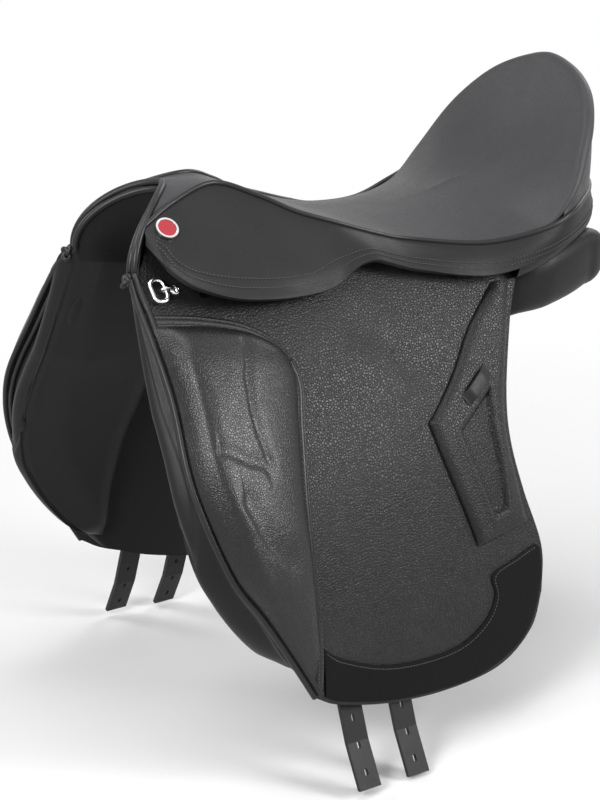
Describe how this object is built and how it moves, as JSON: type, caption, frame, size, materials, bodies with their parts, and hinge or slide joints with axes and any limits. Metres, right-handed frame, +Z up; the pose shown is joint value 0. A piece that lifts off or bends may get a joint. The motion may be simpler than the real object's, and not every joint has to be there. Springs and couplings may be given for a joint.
{
  "type": "dressage saddle",
  "caption": "Dressage saddle with a deep seat, long flaps that lift, leg blocks, stuffed panels, stirrup bars, swinging girth straps and dee rings.",
  "frame": {"origin": "on the centre plane, at the level where the panels bear on the back of the horse", "axes": "+X forward to the pommel, +Y to the near (left) side of the horse, +Z up"},
  "size_m": [0.5194, 0.4456, 0.5663],
  "materials": {
    "wood": "bare laminated wood",
    "steel": "plain steel",
    "chrome": "polished",
    "enamel": "glossy red",
    "webbing": "woven webbing",
    "foam": "soft foam",
    "seat_leather": "smooth matt black",
    "grain_leather": "grained black with a low gloss",
    "panel_leather": "soft smooth black",
    "strap_leather": "smooth black"
  },
  "bodies": {
    "saddle": {"tree": "wood", "gullet_plate": "steel", "plate_rivets": "steel", "gullet_lining": "panel_leather", "pommel_facing": "seat_leather", "pommel_welt": "seat_leather", "seat_web": "webbing", "seat_foam": "foam", "seat_cover": "seat_leather", "cantle_back": "seat_leather", "seat_welt": "seat_leather", "bar_rivets": "steel", "flap_nails": "steel", "strap_rivets": "steel", "near_stirrup_bar": "steel", "off_stirrup_bar": "steel", "near_skirt": "seat_leather", "off_skirt": "seat_leather", "near_button_rim": "chrome", "off_button_rim": "chrome", "near_button_enamel": "enamel", "off_button_enamel": "enamel", "near_flap_head": "grain_leather", "off_flap_head": "grain_leather", "near_sweat_flap": "panel_leather", "off_sweat_flap": "panel_leather", "near_panel": "panel_leather", "off_panel": "panel_leather", "near_panel_roll": "panel_leather", "off_panel_roll": "panel_leather", "near_girth_web": "webbing", "off_girth_web": "webbing", "near_dee_staple": "chrome", "off_dee_staple": "chrome"},
    "near_flap": {"near_flap": "grain_leather", "near_leg_block": "foam", "near_block_cover": "grain_leather", "near_flap_hem": "seat_leather", "near_rear_pad": "grain_leather", "near_keeper": "grain_leather"},
    "near_skirt_lobe": {"near_skirt_lobe": "seat_leather"},
    "near_dee_ring": {"near_dee_ring": "chrome"},
    "near_bar_catch": {"near_bar_catch": "steel"},
    "near_front_strap": {"near_front_strap": "strap_leather"},
    "near_rear_strap": {"near_rear_strap": "strap_leather"},
    "off_flap": {"off_flap": "grain_leather", "off_leg_block": "foam", "off_block_cover": "grain_leather", "off_flap_hem": "seat_leather", "off_rear_pad": "grain_leather", "off_keeper": "grain_leather"},
    "off_skirt_lobe": {"off_skirt_lobe": "seat_leather"},
    "off_dee_ring": {"off_dee_ring": "chrome"},
    "off_bar_catch": {"off_bar_catch": "steel"},
    "off_front_strap": {"off_front_strap": "strap_leather"},
    "off_rear_strap": {"off_rear_strap": "strap_leather"}
  },
  "joints": [
    {"name": "near_flap_lift", "type": "hinge", "parent": "saddle", "child": "near_flap", "pos_m": [0.042, 0.0895, 0.067], "axis": [0.9946, -0.0722, 0.0749], "range_deg": [0, 60]},
    {"name": "near_skirt_lift", "type": "hinge", "parent": "saddle", "child": "near_skirt_lobe", "pos_m": [0.119, 0.084, 0.1035], "axis": [0.9724, -0.1565, 0.1732], "range_deg": [0, 75]},
    {"name": "near_dee_swing", "type": "hinge", "parent": "saddle", "child": "near_dee_ring", "pos_m": [0.202, 0.07176, 0.09358], "axis": [0, -0.653, 0.7574], "range_deg": [0, 110]},
    {"name": "near_catch_turn", "type": "hinge", "parent": "saddle", "child": "near_bar_catch", "pos_m": [0.06535, 0.07018, 0.09262], "axis": [0.0562, 0.9461, -0.3188], "range_deg": [0, 28]},
    {"name": "near_front_strap_swing", "type": "hinge", "parent": "saddle", "child": "near_front_strap", "pos_m": [0.097, 0.09289, 0.04041], "axis": [0, 0.8248, 0.5654], "range_deg": [-4, 2]},
    {"name": "near_rear_strap_swing", "type": "hinge", "parent": "saddle", "child": "near_rear_strap", "pos_m": [0.04295, 0.09558, 0.03663], "axis": [0, 0.8408, 0.5414], "range_deg": [-2, 6]},
    {"name": "off_flap_lift", "type": "hinge", "parent": "saddle", "child": "off_flap", "pos_m": [0.042, -0.0895, 0.067], "axis": [-0.9946, -0.0722, -0.0749], "range_deg": [0, 60]},
    {"name": "off_skirt_lift", "type": "hinge", "parent": "saddle", "child": "off_skirt_lobe", "pos_m": [0.119, -0.084, 0.1035], "axis": [-0.9724, -0.1565, -0.1732], "range_deg": [0, 75]},
    {"name": "off_dee_swing", "type": "hinge", "parent": "saddle", "child": "off_dee_ring", "pos_m": [0.202, -0.07176, 0.09358], "axis": [0, -0.653, -0.7574], "range_deg": [0, 110]},
    {"name": "off_catch_turn", "type": "hinge", "parent": "saddle", "child": "off_bar_catch", "pos_m": [0.06535, -0.07018, 0.09262], "axis": [-0.0562, 0.9461, 0.3188], "range_deg": [0, 28]},
    {"name": "off_front_strap_swing", "type": "hinge", "parent": "saddle", "child": "off_front_strap", "pos_m": [0.097, -0.09289, 0.04041], "axis": [0, 0.8248, -0.5654], "range_deg": [-4, 2]},
    {"name": "off_rear_strap_swing", "type": "hinge", "parent": "saddle", "child": "off_rear_strap", "pos_m": [0.04295, -0.09558, 0.03663], "axis": [0, 0.8408, -0.5414], "range_deg": [-2, 6]}
  ]
}
